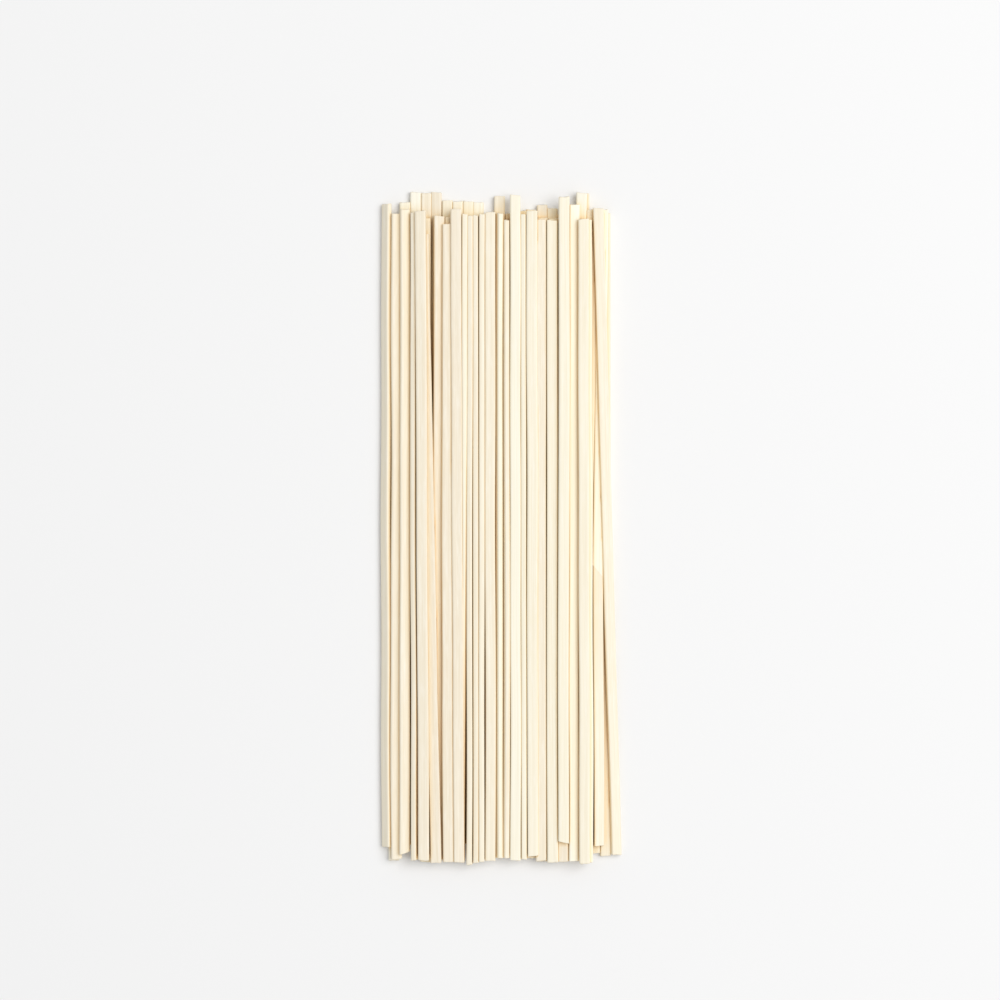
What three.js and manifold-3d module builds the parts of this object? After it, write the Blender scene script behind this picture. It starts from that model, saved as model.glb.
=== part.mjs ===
// A loose bundle of straight dried udon noodles, lying flat: every noodle runs along Y, heads at +Y.
// Millimetres, +Z up, origin on the surface below the middle of the bundle.

import * as THREE from "three";
import { mergeVertices } from "three/addons/utils/BufferGeometryUtils.js";
import Module from "manifold-3d";

const wasm = await Module();
wasm.setup();

// One noodle
const NOODLE_LENGTH = 250;
const NOODLE_WIDTH = 4.15;
const NOODLE_THICKNESS = 2.2;
const EDGE_RADIUS = 0.6;
const CUT_SLANT = 0.1;

// The lowest layer lies flat on the surface, noodle beside noodle: the reach of each head, left to right
const BOTTOM_FIRST = -41.4;
const BOTTOM_PITCH = 4.1;
const BOTTOM_STRAY = 0.12;
const BOTTOM_HEADS = [
  120.8, 126.8, 130.7, 130.4, 130.7, 127.6, 127.2, 127.2, 126.8, 121.5, 129.2, 122.5, 123.5, 124.0, 125.9,
  124.5, 122.0, 121.5, 130.4, 123.5, 122.5,
];

// The second layer from left to right, with room left for the noodles that stand on edge: place across
// the bundle at the head and at the tail, and how far the head reaches
const MIDDLE = [
  [-29.5, -29.4, 120.4],
  [-19.9, -20.4, 120.8],
  [-4.5, -4.6, 121.4],
  [5.7, 5.8, 121.6],
  [12.1, 11.8, 121.9],
  [16.2, 15.8, 120.6],
  [20.3, 19.8, 120.3],
  [27.2, 23.9, 120.9],
  [31.3, 28.0, 130.3],
  [35.3, 32.1, 123.7],
];
const MIDDLE_LEVEL = 2.12;
const MIDDLE_ROLL = 2;

// The noodles that show on top: middle line across the bundle at the head and at the tail, reach of the
// two ends along it, height of the underside and roll in degrees at the two ends (positive rolls lift
// the right edge), and the slant of a snapped end
const SHOWN = [
  { across: [-44.7, -44.6], ends: [126.1, -123.9], level: [0.0, 0.0], roll: [45, 44] },
  { across: [-40.7, -40.8], ends: [122.2, -128.5], level: [2.1, 2.1], roll: [-12, -9] },
  { across: [-37.3, -37.4], ends: [123.7, -126.1], level: [3.0, 3.5], roll: [-20, -11], snap: [0, 0.22] },
  { across: [-33.85, -33.35], ends: [122.4, -128.6], level: [2.9, 3.3], roll: [-78, -74] },
  { across: [-30.8, -30.5], ends: [30.0, -127.2], level: [4.2, 4.2], roll: [0, 0] },
  { across: [-30.1, -25.2], ends: [114.2, -129.7], level: [4.3, 4.5], roll: [3, 4] },
  { across: [-31.2, -29.95], ends: [122.9, -128.5], level: [6.5, 6.3], roll: [5, 3] },
  { across: [-24.3, -24.6], ends: [121.2, -128.8], level: [3.0, 2.1], roll: [-16, -3] },
  { across: [-21.0, -20.4], ends: [118.1, -129.4], level: [4.2, 4.2], roll: [-5, -4] },
  { across: [-17.6, -16.4], ends: [123.7, -129.5], level: [4.8, 4.3], roll: [-5, -8] },
  { across: [-14.1, -16.15], ends: [121.9, -129.0], level: [2.6, 2.2], roll: [88, 6] },
  { across: [-11.8, -12.15], ends: [121.2, -130.5], level: [2.6, 2.7], roll: [-84, -86] },
  { across: [-9.7, -9.95], ends: [121.4, -129.8], level: [2.6, 2.4], roll: [-90, -86] },
  { across: [-7.6, -7.6], ends: [121.8, -129.3], level: [2.6, 2.6], roll: [85, 85] },
  { across: [-4.05, -4.15], ends: [122.6, -129.0], level: [4.2, 4.2], roll: [-3, -2] },
  { across: [-1.0, -1.0], ends: [122.2, -127.9], level: [2.4, 2.4], roll: [61, 61] },
  { across: [1.5, 1.5], ends: [119.6, -127.8], level: [2.4, 2.4], roll: [61, 61] },
  { across: [5.6, 5.68], ends: [129.2, -128.8], level: [4.4, 4.4], roll: [-1, -2] },
  { across: [8.8, 9.0], ends: [121.8, -128.4], level: [2.3, 2.3], roll: [-86, -86] },
  { across: [15.35, 15.6], ends: [119.7, -128.9], level: [4.2, 4.2], roll: [-6, -5] },
  { across: [12.0, 12.3], ends: [123.1, -127.0], level: [5.0, 4.9], roll: [-1, 1] },
  { across: [19.95, 20.15], ends: [119.4, -129.4], level: [4.7, 5.0], roll: [-2, 1] },
  { across: [24.2, 24.2], ends: [120.5, -129.3], level: [4.2, 4.2], roll: [0, 0] },
  { across: [28.6, 28.15], ends: [125.5, -129.0], level: [4.2, 4.2], roll: [-14, -12] },
  { across: [24.3, 24.4], ends: [128.4, -121.6], level: [6.4, 6.4], roll: [-2, -1], snap: [0, -0.29] },
  { across: [33.3, 33.8], ends: [119.9, -129.5], level: [4.2, 4.3], roll: [-2, 2] },
  { across: [32.0, 32.3], ends: [119.8, -129.8], level: [6.4, 6.4], roll: [-3, -1] },
  { across: [39.6, 37.6], ends: [123.8, -16.6], level: [2.1, 2.1], roll: [-2, -1], snap: [0, -1.2] },
  { across: [37.7, 38.0], ends: [-15.0, -123.4], level: [2.1, 2.1], roll: [-1, -16], snap: [-1.2, 0] },
  { across: [37.7, 44.8], ends: [124.1, -127.0], level: [4.2, 0.0], roll: [-3, -24] },
];

// The core that joins the layers, drawn in from the outer noodles on every side
const CORE_OUTLINE = [
  [-41.2, 0.7],
  [41.0, 0.7],
  [39.4, 2.6],
  [34.2, 4.0],
  [-37.0, 4.0],
  [-40.6, 2.6],
];
const CORE_HEAD = 108;
const CORE_TAIL = -112;

// Mesh fineness
const SHOWN_STEPS = 4;
const SLIVER = 0.012;
const WELD = 1e-4;

// Look
const NOODLE_COLOUR = 0xf3e6c8;
const NOODLE_ROUGHNESS = 0.8;

// Seeded draws, so the bundle comes out the same every time
const DRAW_SEED = 20231;
const DRAW_FACTOR = 1664525;
const DRAW_STEP = 1013904223;
const DRAW_RANGE = 4294967296;
let drawState = DRAW_SEED;

function spread(reach) {
  drawState = (drawState * DRAW_FACTOR + DRAW_STEP) % DRAW_RANGE;
  return reach * ((2 * drawState) / DRAW_RANGE - 1);
}

// A noodle with both ends cut a little out of square
function lay(pile, { across, ends, level, roll, snap = [0, 0], steps }) {
  const slants = [snap[0] + spread(CUT_SLANT), snap[1] + spread(CUT_SLANT)];
  pile.push({ across, ends, level, roll, slants, steps });
}

function layBundle() {
  const pile = [];
  for (const [place, head] of BOTTOM_HEADS.entries()) {
    const x = BOTTOM_FIRST + BOTTOM_PITCH * place;
    const across = [x + spread(BOTTOM_STRAY), x + spread(BOTTOM_STRAY)];
    lay(pile, { across, ends: [head, head - NOODLE_LENGTH], level: [0, 0], roll: [0, 0], steps: 1 });
  }
  for (const [headAcross, tailAcross, head] of MIDDLE) {
    const across = [headAcross, tailAcross];
    const roll = [spread(MIDDLE_ROLL), spread(MIDDLE_ROLL)];
    const level = [MIDDLE_LEVEL, MIDDLE_LEVEL];
    lay(pile, { across, ends: [head, head - NOODLE_LENGTH], level, roll, steps: 1 });
  }
  for (const row of SHOWN) {
    lay(pile, { ...row, steps: SHOWN_STEPS });
  }
  return pile;
}

// Rectangle with eased corners
function noodleSection() {
  const x = NOODLE_WIDTH / 2 - EDGE_RADIUS;
  const y = NOODLE_THICKNESS / 2 - EDGE_RADIUS;
  const section = new THREE.Shape();
  section.absarc(x, y, EDGE_RADIUS, 0, Math.PI / 2);
  section.absarc(-x, y, EDGE_RADIUS, Math.PI / 2, Math.PI);
  section.absarc(-x, -y, EDGE_RADIUS, Math.PI, 1.5 * Math.PI);
  section.absarc(x, -y, EDGE_RADIUS, 1.5 * Math.PI, 2 * Math.PI);
  section.closePath();
  return section;
}

// The straight bar is drawn one unit long, then every section is rolled, lifted until its lowest corner
// is at the level of the underside, and moved to its place
function noodleGeometry({ across, ends, level, roll, slants, steps }) {
  const { lerp, degToRad } = THREE.MathUtils;
  const geometry = new THREE.ExtrudeGeometry(noodleSection(), {
    depth: 1,
    steps,
    curveSegments: 1,
    bevelEnabled: false,
  });
  const points = geometry.attributes.position;
  for (let i = 0; i < points.count; i += 1) {
    const share = points.getZ(i);
    const turn = degToRad(lerp(...roll, share));
    const side = points.getX(i) * Math.cos(turn) - points.getY(i) * Math.sin(turn);
    const lift = points.getX(i) * Math.sin(turn) + points.getY(i) * Math.cos(turn);
    const tall = NOODLE_WIDTH * Math.abs(Math.sin(turn)) + NOODLE_THICKNESS * Math.abs(Math.cos(turn));
    const slant = lerp(...slants, share) * Math.abs(2 * share - 1);
    points.setXYZ(
      i,
      lerp(...across, share) + side,
      lerp(...ends, share) + slant * side,
      lerp(...level, share) + tall / 2 + lift,
    );
  }
  return geometry;
}

function coreGeometry() {
  const outline = new THREE.Shape(CORE_OUTLINE.map(([x, z]) => new THREE.Vector2(x, z)));
  const geometry = new THREE.ExtrudeGeometry(outline, {
    depth: CORE_HEAD - CORE_TAIL,
    bevelEnabled: false,
  });
  geometry.rotateX(Math.PI / 2);
  geometry.translate(0, CORE_HEAD, 0);
  return geometry;
}

function toSolid(geometry) {
  geometry.deleteAttribute("normal");
  geometry.deleteAttribute("uv");
  const welded = mergeVertices(geometry, WELD);
  const mesh = new wasm.Mesh({
    numProp: 3,
    vertProperties: new Float32Array(welded.attributes.position.array),
    triVerts: new Uint32Array(welded.index.array),
  });
  return new wasm.Manifold(mesh);
}

function toGeometry(solid) {
  const mesh = solid.getMesh();
  const geometry = new THREE.BufferGeometry();
  geometry.setAttribute("position", new THREE.BufferAttribute(mesh.vertProperties, 3));
  geometry.setIndex(new THREE.BufferAttribute(mesh.triVerts, 1));
  geometry.computeVertexNormals();
  return geometry;
}

// Core and noodles become one solid, and only its outer skin is kept: sealed hollows are filled
function fuseBundle(pile) {
  let fused = toSolid(coreGeometry());
  for (const noodle of pile) {
    fused = fused.add(toSolid(noodleGeometry(noodle)));
  }
  const bodies = fused.simplify(SLIVER).decompose();
  return bodies.reduce((largest, body) => (body.volume() > largest.volume() ? body : largest));
}

const bundle = new THREE.Mesh(
  toGeometry(fuseBundle(layBundle())),
  new THREE.MeshStandardMaterial({
    color: NOODLE_COLOUR,
    roughness: NOODLE_ROUGHNESS,
    metalness: 0,
  }),
);
bundle.name = "noodle_bundle";

const group = new THREE.Group();
group.name = "udon_bundle";
group.add(bundle);

export default group;
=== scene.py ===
"""A loose bundle of straight dried udon noodles, seen from straight above.

The noodles are laid by the same sizes as the solid they stand for, and each has its own uneven shape.
They are measured in millimetres until their mesh is made. The mesh, the floor, the light and the
camera are in metres.
"""

import math

import bpy
import numpy as np
from mathutils.bvhtree import BVHTree
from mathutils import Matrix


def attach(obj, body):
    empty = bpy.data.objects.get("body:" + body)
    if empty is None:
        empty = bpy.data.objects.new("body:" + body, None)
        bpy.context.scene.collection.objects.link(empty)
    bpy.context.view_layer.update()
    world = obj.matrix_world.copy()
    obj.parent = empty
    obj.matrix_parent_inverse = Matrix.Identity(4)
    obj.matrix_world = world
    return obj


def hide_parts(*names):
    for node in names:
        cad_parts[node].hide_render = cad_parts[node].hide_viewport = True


MM = 0.001

# One noodle
NOODLE_LENGTH = 250.0
NOODLE_WIDTH = 4.15
NOODLE_THICKNESS = 2.2
EDGE_RADIUS = 0.6
CUT_SLANT = 0.1

# Half the width and half the thickness of a noodle inside its rounded edges
CORE_HALF = np.array((NOODLE_WIDTH, NOODLE_THICKNESS)) / 2 - EDGE_RADIUS

# Corners of a noodle's section: to the side, up, and where the quarter turn starts, in half turns
CORNERS = ((1, 1, 0.0), (-1, 1, 0.5), (-1, -1, 1.0), (1, -1, 1.5))

# The lowest layer lies flat on the surface, noodle beside noodle: the reach of each head, left to right
BOTTOM_FIRST = -41.4
BOTTOM_PITCH = 4.1
BOTTOM_STRAY = 0.12
BOTTOM_HEADS = (
    *(120.8, 126.8, 130.7, 130.4, 130.7, 127.6, 127.2, 127.2, 126.8, 121.5, 129.2),
    *(122.5, 123.5, 124.0, 125.9, 124.5, 122.0, 121.5, 130.4, 123.5, 122.5),
)

# The second layer from left to right, with room left for the noodles that stand on edge: place across
# the bundle at the head and at the tail, and how far the head reaches
MIDDLE = (
    (-29.5, -29.4, 120.4),
    (-19.9, -20.4, 120.8),
    (-4.5, -4.6, 121.4),
    (5.7, 5.8, 121.6),
    (12.1, 11.8, 121.9),
    (16.2, 15.8, 120.6),
    (20.3, 19.8, 120.3),
    (27.2, 23.9, 120.9),
    (31.3, 28.0, 130.3),
    (35.3, 32.1, 123.7),
)
MIDDLE_LEVEL = 2.12
MIDDLE_ROLL = 2.0

# The noodles that show on top: middle line across the bundle at the head and at the tail, reach of the
# two ends along it, height of the underside and roll in degrees at the two ends (positive rolls lift
# the right edge), and the slant of each end where it is snapped
SHOWN = (
    ((-44.7, -44.6), (126.1, -123.9), (0.0, 0.0), (45, 44), (0, 0)),
    ((-40.7, -40.8), (122.2, -128.5), (2.1, 2.1), (-12, -9), (0, 0)),
    ((-37.3, -37.4), (123.7, -126.1), (3.0, 3.5), (-20, -11), (0, 0.22)),
    ((-33.85, -33.35), (122.4, -128.6), (2.9, 3.3), (-78, -74), (0, 0)),
    ((-30.8, -30.5), (30.0, -127.2), (4.2, 4.2), (0, 0), (0, 0)),
    ((-30.1, -25.2), (114.2, -129.7), (4.3, 4.5), (3, 4), (0, 0)),
    ((-31.2, -29.95), (122.9, -128.5), (6.5, 6.3), (5, 3), (0, 0)),
    ((-24.3, -24.6), (121.2, -128.8), (3.0, 2.1), (-16, -3), (0, 0)),
    ((-21.0, -20.4), (118.1, -129.4), (4.2, 4.2), (-5, -4), (0, 0)),
    ((-17.6, -16.4), (123.7, -129.5), (4.8, 4.3), (-5, -8), (0, 0)),
    ((-14.1, -16.15), (121.9, -129.0), (2.6, 2.2), (88, 6), (0, 0)),
    ((-11.8, -12.15), (121.2, -130.5), (2.6, 2.7), (-84, -86), (0, 0)),
    ((-9.7, -9.95), (121.4, -129.8), (2.6, 2.4), (-90, -86), (0, 0)),
    ((-7.6, -7.6), (121.8, -129.3), (2.6, 2.6), (85, 85), (0, 0)),
    ((-4.05, -4.15), (122.6, -129.0), (4.2, 4.2), (-3, -2), (0, 0)),
    ((-1.0, -1.0), (122.2, -127.9), (2.4, 2.4), (61, 61), (0, 0)),
    ((1.5, 1.5), (119.6, -127.8), (2.4, 2.4), (61, 61), (0, 0)),
    ((5.6, 5.68), (129.2, -128.8), (4.4, 4.4), (-1, -2), (0, 0)),
    ((8.8, 9.0), (121.8, -128.4), (2.3, 2.3), (-86, -86), (0, 0)),
    ((15.35, 15.6), (119.7, -128.9), (4.2, 4.2), (-6, -5), (0, 0)),
    ((12.0, 12.3), (123.1, -127.0), (5.0, 4.9), (-1, 1), (0, 0)),
    ((19.95, 20.15), (119.4, -129.4), (4.7, 5.0), (-2, 1), (0, 0)),
    ((24.2, 24.2), (120.5, -129.3), (4.2, 4.2), (0, 0), (0, 0)),
    ((28.6, 28.15), (125.5, -129.0), (4.2, 4.2), (-14, -12), (0, 0)),
    ((24.3, 24.4), (128.4, -121.6), (6.4, 6.4), (-2, -1), (0, -0.29)),
    ((33.3, 33.8), (119.9, -129.5), (4.2, 4.3), (-2, 2), (0, 0)),
    ((32.0, 32.3), (119.8, -129.8), (6.4, 6.4), (-3, -1), (0, 0)),
    ((39.6, 37.6), (123.8, -16.6), (2.1, 2.1), (-2, -1), (0, -1.2)),
    ((37.7, 38.0), (-15.0, -123.4), (2.1, 2.1), (-1, -16), (-1.2, 0)),
    ((37.7, 44.8), (124.1, -127.0), (4.2, 0.0), (-3, -24), (0, 0)),
)

# Seeded draws for the layout, made in the same way for the solid
DRAW_SEED = 20231
DRAW_FACTOR = 1664525
DRAW_STEP = 1013904223
DRAW_RANGE = 4294967296

# Unevenness of single noodles
SHAPE_SEED = 41
WANDER_TURNS = (0.5, 1.0, 1.7, 2.9)
SIDE_WANDER = 0.16
LIFT_WANDER = 0.06
ROLL_WANDER = math.radians(2.0)
WIDTH_SPREAD = 0.03
WIDTH_RIPPLE = 0.012
HOLLOW = 0.05

# Rings of points along a noodle and points round each corner of its section. The first and the last
# rings close the cuts: their size from the middle of a cut to its rim, and how far in the rim lies as
# a share of the eased length
RINGS = 54
CORNER_STEPS = 4
CUT_RINGS = (0.5, 0.86, 0.95)
CUT_EASE = 0.14
RIM_SHARE = 0.25
CUT_ROUGHNESS = 0.11

# How light each noodle is. The seed was picked because its draws come near the photograph's tones
TONE_SEED = 2227848

# Steps that set the grain of one noodle apart from the next, across it and along it
GRAIN_STEP = 17.0
GRAIN_STRAY = 31.0

# Rays from every point of a noodle, which find how much of the open air before it the heap takes up;
# the material paints shade into the noodles' colour from this share
RAYS = 32
RAY_START = 0.06
RAY_REACH = 8.0
GOLDEN_TURN = math.pi * (3 - math.sqrt(5))

# Colours of dry wheat dough, as rows of a place and a colour: whole noodles, streaks, flour and how
# much of it lies on them, the crumb of a cut, and painted shade that darkens the colour to warm brown
# in the crevices between noodles as they get deeper
WHITE = (1.0, 1.0, 1.0)
TONES = (
    (0.0, (0.85, 0.77, 0.63)),
    (0.35, (0.90, 0.83, 0.68)),
    (0.7, (0.93, 0.88, 0.725)),
    (1.0, (0.945, 0.925, 0.815)),
)
STREAKS = ((0.32, (0.95, 0.925, 0.88)), (0.66, WHITE))
FLOUR = ((0.0, (0.93, 0.88, 0.77)), (1.0, (0.95, 0.91, 0.82)))
FLOUR_SHARE = ((0.48, (0.0, 0.0, 0.0)), (0.75, (0.45, 0.45, 0.45)))
CRUMB = ((0.3, (0.82, 0.71, 0.52)), (0.7, (0.95, 0.89, 0.77)))
# Painted shade: multipliers that darken and brown the colour as the heap takes up more of the open air
PAINTED_GAP_SHADE = (
    (0.1, WHITE),
    (0.5, (1.0, 0.93, 0.8)),
    (0.82, (1.0, 0.81, 0.56)),
    (0.89, (0.7, 0.45, 0.22)),
    (0.96, (0.3, 0.16, 0.05)),
)

# Surface of the dough: roughness where it is bare and where it is floury, shine, and its fine relief
ROUGHNESS = ((0.3, (0.58, 0.58, 0.58)), (0.7, (0.80, 0.80, 0.80)))
SHINE = 0.25
FINE_SHARE = 0.5
RELIEF_STRENGTH = 0.2
RELIEF_DEPTH = 0.0001

# Noise on a noodle: how closely it changes across, along and through the noodle, and its detail
STREAK_NOISE = ((1.9, 0.02, 1.9), 3.0)
FLOUR_NOISE = ((1.3, 0.12, 1.3), 4.0)
CRUMB_NOISE = ((5.5, 5.5, 5.5), 4.0)
FINE_NOISE = ((7.0, 0.4, 7.0), 4.0)

# Pale matte floor, a bright room and one large soft window light
FLOOR_REACH = 4.0
FLOOR_COLOUR = (0.86, 0.86, 0.86, 1)
FLOOR_ROUGHNESS = 0.9
FLOOR_SHINE = 0.1
ROOM_STRENGTH = 0.59
WINDOW_PLACE = (1.6, 0.5, 2.75)
WINDOW_SIZE = 2.8
WINDOW_POWER = 70

# Picture: scale and middle of the photograph, and a far camera looking straight down
PICTURE_WIDTH = 0.3876
PICTURE_MIDDLE = (-0.0004, 0.0110)
CAMERA_HEIGHT = 1.2
TOP_HEIGHT = 0.007
SENSOR = 36.0


class Draws:
    """The seeded draws that place the noodles."""

    def __init__(self, seed):
        self.state = seed

    def spread(self, reach):
        self.state = (self.state * DRAW_FACTOR + DRAW_STEP) % DRAW_RANGE
        return reach * (2 * self.state / DRAW_RANGE - 1)


class Noodle:
    """Where one noodle lies, each pair from its head to its tail."""

    def __init__(self, draws, across, ends, level, roll, snap=(0, 0)):
        self.across = across
        self.ends = ends
        self.level = level
        self.roll = np.radians(roll)
        self.slants = [snap[0] + draws.spread(CUT_SLANT), snap[1] + draws.spread(CUT_SLANT)]


def lay_bundle():
    """All noodles from the lowest layer up."""
    pile = []
    draws = Draws(DRAW_SEED)
    for place, head in enumerate(BOTTOM_HEADS):
        x = BOTTOM_FIRST + BOTTOM_PITCH * place
        across = (x + draws.spread(BOTTOM_STRAY), x + draws.spread(BOTTOM_STRAY))
        pile.append(Noodle(draws, across, (head, head - NOODLE_LENGTH), (0, 0), (0, 0)))
    for head_across, tail_across, head in MIDDLE:
        across = (head_across, tail_across)
        roll = (draws.spread(MIDDLE_ROLL), draws.spread(MIDDLE_ROLL))
        level = (MIDDLE_LEVEL, MIDDLE_LEVEL)
        pile.append(Noodle(draws, across, (head, head - NOODLE_LENGTH), level, roll))
    for row in SHOWN:
        pile.append(Noodle(draws, *row))
    return pile


def noodle_section():
    """Points round a rectangle with eased corners and faintly hollow faces."""
    half_wide = NOODLE_WIDTH / 2
    half_thick = NOODLE_THICKNESS / 2
    points = []
    for side, up, turn in CORNERS:
        for angle in np.linspace(turn, turn + 0.5, CORNER_STEPS) * math.pi:
            x = side * CORE_HALF[0] + EDGE_RADIUS * math.cos(angle)
            z = up * CORE_HALF[1] + EDGE_RADIUS * math.sin(angle)
            points.append((x, z))
        if side == up:
            points.append((0.0, up * (half_thick - HOLLOW)))
        else:
            points.append((side * (half_wide - HOLLOW / 2), 0.0))
    return np.array(points)


def between(pair, share):
    """Value at a share of the way from the head to the tail."""
    return pair[0] + (pair[1] - pair[0]) * share


def wander(rng, share, reach):
    """A slow seeded waver along a noodle."""
    waves = np.zeros_like(share)
    for turns in WANDER_TURNS:
        waves += rng.normal() / (1 + turns) * np.sin(2 * math.pi * (turns * share + rng.random()))
    return reach * waves


def uneven(rng, share):
    """Width or thickness along a noodle, as a share of its usual size."""
    return 1 + rng.uniform(-1, 1) * WIDTH_SPREAD + wander(rng, share, WIDTH_RIPPLE)


def turned(x, z, roll):
    """Places across and up a noodle after the roll of each ring."""
    cosine = np.cos(roll)[:, None]
    sine = np.sin(roll)[:, None]
    return x * cosine - z * sine, x * sine + z * cosine


def noodle_rings(length):
    """Where the rings lie, as shares of the way from the head to the tail, and the size of each."""
    ease = CUT_EASE / length
    rim = RIM_SHARE * ease
    body = ease + (1 - 2 * ease) * (1 - np.cos(np.linspace(0, math.pi, RINGS))) / 2
    share = np.concatenate(([0, 0, rim], body, [1 - rim, 1, 1]))
    shrink = np.concatenate((CUT_RINGS, np.ones(RINGS), CUT_RINGS[::-1]))
    return share, shrink


def noodle_normals(section, share, roll, on_cut):
    """The way out of a noodle at each point, which is straight along it on its two cuts."""
    outward = section - np.clip(section, -CORE_HALF, CORE_HALF)
    outward = outward / np.linalg.norm(outward, axis=1, keepdims=True)
    sideways, upward = turned(outward[:, 0], outward[:, 1], roll)
    endways = np.broadcast_to(np.sign(0.5 - share)[:, None], sideways.shape)
    return np.stack(
        (
            np.where(on_cut, 0.0, sideways),
            np.where(on_cut, endways, 0.0),
            np.where(on_cut, 0.0, upward),
        ),
        axis=-1,
    )


def split_faces(values):
    """Adds values halfway from the middle of both wide faces to their edges."""
    spots = []
    for middle in (CORNER_STEPS, 3 * CORNER_STEPS + 2):
        spots += [middle, middle + 1]
    halfway = [(values[:, spot - 1] + values[:, spot]) / 2 for spot in spots]
    return np.insert(values, spots, np.stack(halfway, axis=1), axis=1)


def noodle_points(noodle, section, rng):
    """Points of one noodle ring by ring, their normals, their place in its grain, and which are cut."""
    share, shrink = noodle_rings(noodle.ends[0] - noodle.ends[1])
    on_cut = (shrink < 1)[:, None]
    wide = shrink * uneven(rng, share)
    thick = shrink * uneven(rng, share)
    roll = between(noodle.roll, share)
    tall = NOODLE_WIDTH * np.abs(np.sin(roll)) + NOODLE_THICKNESS * np.abs(np.cos(roll))
    roll = roll + wander(rng, share, ROLL_WANDER)
    x = section[:, 0] * wide[:, None]
    z = section[:, 1] * thick[:, None]
    side, lift = turned(x, z, roll)
    slant = between(noodle.slants, share) * np.abs(2 * share - 1)
    ragged = np.where(on_cut, rng.normal(0, CUT_ROUGHNESS, x.shape), 0.0)
    along = between(noodle.ends, share)
    middle_x = between(noodle.across, share) + wander(rng, share, SIDE_WANDER)
    middle_z = between(noodle.level, share) + tall / 2 + np.abs(wander(rng, share, LIFT_WANDER))
    points = np.stack(
        (
            middle_x[:, None] + side,
            along[:, None] + slant[:, None] * side + ragged,
            np.maximum(middle_z[:, None] + lift, 0.0),
        ),
        axis=-1,
    )
    normals = noodle_normals(section, share, roll, on_cut)
    grain = np.stack((x, np.broadcast_to(along[:, None], x.shape), z), axis=-1)
    cut = np.broadcast_to(on_cut, x.shape).astype(float)
    return [split_faces(values) for values in (points, normals, grain, cut)]


def noodle_faces(first, rings, around):
    """Quads between the rings of one noodle, and one many-sided face on each end."""
    faces = []
    for ring in range(rings - 1):
        for step in range(around):
            here = first + ring * around + step
            beside = first + ring * around + (step + 1) % around
            faces.append((here, here + around, beside + around, beside))
    last = first + (rings - 1) * around
    faces.append(tuple(range(first, first + around)))
    faces.append(tuple(reversed(range(last, last + around))))
    return faces


def hidden_share(points, normals, faces):
    """Share of the open air before each point that the heap takes up, weighed as light would be."""
    tree = BVHTree.FromPolygons(points.tolist(), faces)
    on_cut = np.abs(normals[:, [1]]) > 0.5
    along = np.where(on_cut, (1.0, 0.0, 0.0), (0.0, 1.0, 0.0))
    across = np.cross(along, normals)
    starts = (points + RAY_START * normals).tolist()
    blocked = np.zeros(len(points))
    for step in range(RAYS):
        turn = step * GOLDEN_TURN
        lean = math.sqrt((step + 0.5) / RAYS)
        rays = math.sqrt(1 - lean**2) * normals
        rays = rays + lean * (math.cos(turn) * along + math.sin(turn) * across)
        hits = [tree.ray_cast(start, ray, RAY_REACH) for start, ray in zip(starts, rays.tolist())]
        blocked += [hit[0] is not None for hit in hits]
    return blocked / RAYS


def add_object(name, data):
    """A new object in the scene."""
    thing = bpy.data.objects.new(name, data)
    bpy.context.scene.collection.objects.link(thing)
    return thing


def make_noodles(pile):
    """All noodles as one mesh, with where each point lies in its own noodle kept for the material."""
    rng = np.random.default_rng(SHAPE_SEED)
    section = noodle_section()
    strands = [noodle_points(noodle, section, rng) for noodle in pile]
    points, normals, grain, cut = [np.stack(values) for values in zip(*strands)]
    count, rings, around = cut.shape
    shifts = [(GRAIN_STEP * number, GRAIN_STRAY * rng.random(), 0.0) for number in range(count)]
    grain = grain + np.array(shifts)[:, None, None]
    tone = np.random.default_rng(TONE_SEED).random(count)
    tone = np.broadcast_to(tone[:, None, None], cut.shape)
    points = points.reshape(-1, 3)
    faces = []
    for number in range(count):
        faces += noodle_faces(number * rings * around, rings, around)
    mesh = bpy.data.meshes.new("noodles")
    mesh.from_pydata((points * MM).tolist(), [], faces)
    mesh.shade_smooth()
    for name, kind, key, values in (
        ("grain", "FLOAT_VECTOR", "vector", grain),
        ("cut", "FLOAT", "value", cut),
        ("tone", "FLOAT", "value", tone),
        # how much of the open air the heap takes up before each point, which the material paints as
        # shade
        ("hidden", "FLOAT", "value", hidden_share(points, normals.reshape(-1, 3), faces)),
    ):
        layer = mesh.attributes.new(name, kind, "POINT")
        layer.data.foreach_set(key, values.astype(np.float32).ravel())
    return add_object("noodles", mesh)


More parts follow.
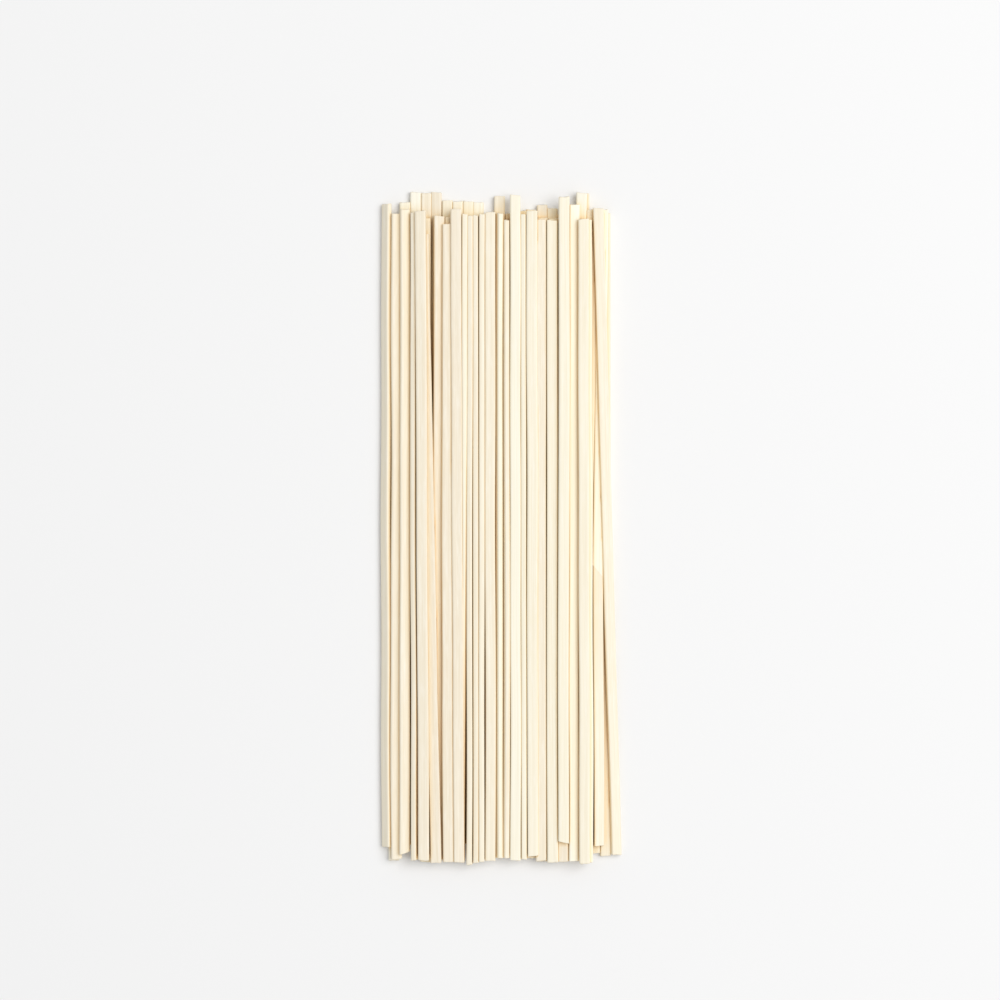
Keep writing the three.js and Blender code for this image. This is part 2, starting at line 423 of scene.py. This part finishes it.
class Nodes:
    """Short calls to add and join the nodes of one material."""

    def __init__(self, name):
        self.material = bpy.data.materials.new(name)
        self.material.use_nodes = True
        self.tree = self.material.node_tree
        self.shader = self.tree.nodes["Principled BSDF"]

    def add(self, kind, **settings):
        node = self.tree.nodes.new(kind)
        for key, value in settings.items():
            setattr(node, key, value)
        return node

    def join(self, source, target):
        self.tree.links.new(source, target)

    def attribute(self, name, output):
        return self.add("ShaderNodeAttribute", attribute_name=name).outputs[output]

    def noise(self, place, stretch, detail):
        """Noise drawn out along the noodle by a stretch of its coordinates."""
        spot = self.add("ShaderNodeMapping")
        spot.inputs["Scale"].default_value = stretch
        self.join(place, spot.inputs["Vector"])
        noise = self.add("ShaderNodeTexNoise")
        noise.inputs["Scale"].default_value = 1.0
        noise.inputs["Detail"].default_value = detail
        self.join(spot.outputs["Vector"], noise.inputs["Vector"])
        return noise.outputs["Fac"]

    def ramp(self, value, stops):
        """Colours that change with a value, from stop to stop."""
        ramp = self.add("ShaderNodeValToRGB")
        elements = ramp.color_ramp.elements
        for number, (position, colour) in enumerate((stops[0], stops[-1])):
            elements[number].position = position
            elements[number].color = (*colour, 1)
        for position, colour in stops[1:-1]:
            elements.new(position).color = (*colour, 1)
        self.join(value, ramp.inputs["Fac"])
        return ramp.outputs["Color"]

    def mix(self, share, first, second, blend="MIX"):
        """Two colours mixed by a share, which is a number or the output of a node."""
        mix = self.add("ShaderNodeMix", data_type="RGBA", blend_type=blend)
        if isinstance(share, float):
            mix.inputs["Factor"].default_value = share
        else:
            self.join(share, mix.inputs["Factor"])
        self.join(first, mix.inputs["A"])
        self.join(second, mix.inputs["B"])
        return mix.outputs["Result"]


def noodle_material():
    """Dry wheat dough: cream, matte, floury and streaked along its length, with painted shade that
    turns the deep crevices between noodles warm brown.
    """
    nodes = Nodes("dried_noodle")
    place = nodes.attribute("grain", "Vector")
    tone = nodes.ramp(nodes.attribute("tone", "Fac"), TONES)
    streak = nodes.noise(place, *STREAK_NOISE)
    colour = nodes.mix(1.0, tone, nodes.ramp(streak, STREAKS), "MULTIPLY")
    flour = nodes.noise(place, *FLOUR_NOISE)
    colour = nodes.mix(nodes.ramp(flour, FLOUR_SHARE), colour, nodes.ramp(flour, FLOUR))
    crumb = nodes.noise(place, *CRUMB_NOISE)
    colour = nodes.mix(nodes.attribute("cut", "Fac"), colour, nodes.ramp(crumb, CRUMB))
    # Painted shade: the colour darkens to warm brown where the heap takes up more of the open air
    # before a point
    gap_shade = nodes.ramp(nodes.attribute("hidden", "Fac"), PAINTED_GAP_SHADE)
    colour = nodes.mix(1.0, colour, gap_shade, "MULTIPLY")
    nodes.join(colour, nodes.shader.inputs["Base Color"])
    nodes.join(nodes.ramp(flour, ROUGHNESS), nodes.shader.inputs["Roughness"])
    fine = nodes.noise(place, *FINE_NOISE)
    relief = nodes.mix(FINE_SHARE, streak, fine)
    bump = nodes.add("ShaderNodeBump")
    bump.inputs["Strength"].default_value = RELIEF_STRENGTH
    bump.inputs["Distance"].default_value = RELIEF_DEPTH
    nodes.join(relief, bump.inputs["Height"])
    nodes.join(bump.outputs["Normal"], nodes.shader.inputs["Normal"])
    nodes.shader.inputs["Specular IOR Level"].default_value = SHINE
    return nodes.material


def floor_material():
    nodes = Nodes("pale_floor")
    nodes.shader.inputs["Base Color"].default_value = FLOOR_COLOUR
    nodes.shader.inputs["Roughness"].default_value = FLOOR_ROUGHNESS
    nodes.shader.inputs["Specular IOR Level"].default_value = FLOOR_SHINE
    return nodes.material


def make_floor(reach):
    mesh = bpy.data.meshes.new("floor")
    corners = [(-reach, -reach, 0), (reach, -reach, 0), (reach, reach, 0), (-reach, reach, 0)]
    mesh.from_pydata(corners, [], [(0, 1, 2, 3)])
    mesh.materials.append(floor_material())
    floor = add_object("floor", mesh)


def light_scene():
    """Soft window light from the upper right, over a bright room."""
    world = bpy.data.worlds.new("room")
    world.use_nodes = True
    bpy.context.scene.world = world
    room = world.node_tree.nodes["Background"]
    room.inputs["Color"].default_value = (*WHITE, 1)
    room.inputs["Strength"].default_value = ROOM_STRENGTH
    light = bpy.data.lights.new("window", "AREA")
    light.shape = "DISK"
    light.size = WINDOW_SIZE
    light.energy = WINDOW_POWER
    window = add_object("window", light)
    window.location = WINDOW_PLACE
    x, y, z = WINDOW_PLACE
    window.rotation_euler = (math.atan2(math.hypot(x, y), z), 0, math.atan2(-y, -x) - math.pi / 2)


def make_camera():
    """Straight down, with the photograph's scale at the tops of the noodles."""
    data = bpy.data.cameras.new("camera")
    data.sensor_fit = "HORIZONTAL"
    data.sensor_width = SENSOR
    data.lens = SENSOR * (CAMERA_HEIGHT - TOP_HEIGHT) / PICTURE_WIDTH
    camera = add_object("camera", data)
    camera.location = (*PICTURE_MIDDLE, CAMERA_HEIGHT)
    bpy.context.scene.camera = camera


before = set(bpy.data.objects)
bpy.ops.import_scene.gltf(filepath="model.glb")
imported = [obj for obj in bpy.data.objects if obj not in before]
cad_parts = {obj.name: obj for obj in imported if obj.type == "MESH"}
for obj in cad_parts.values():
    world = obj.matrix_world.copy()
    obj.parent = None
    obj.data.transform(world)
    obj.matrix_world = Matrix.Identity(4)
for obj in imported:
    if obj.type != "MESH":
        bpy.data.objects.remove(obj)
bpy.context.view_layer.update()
bpy.context.scene.view_settings.view_transform = "Standard"
noodles = make_noodles(lay_bundle())
noodles.data.materials.append(noodle_material())
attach(noodles, "root")
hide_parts("noodle_bundle")
make_floor(FLOOR_REACH)
light_scene()
make_camera()
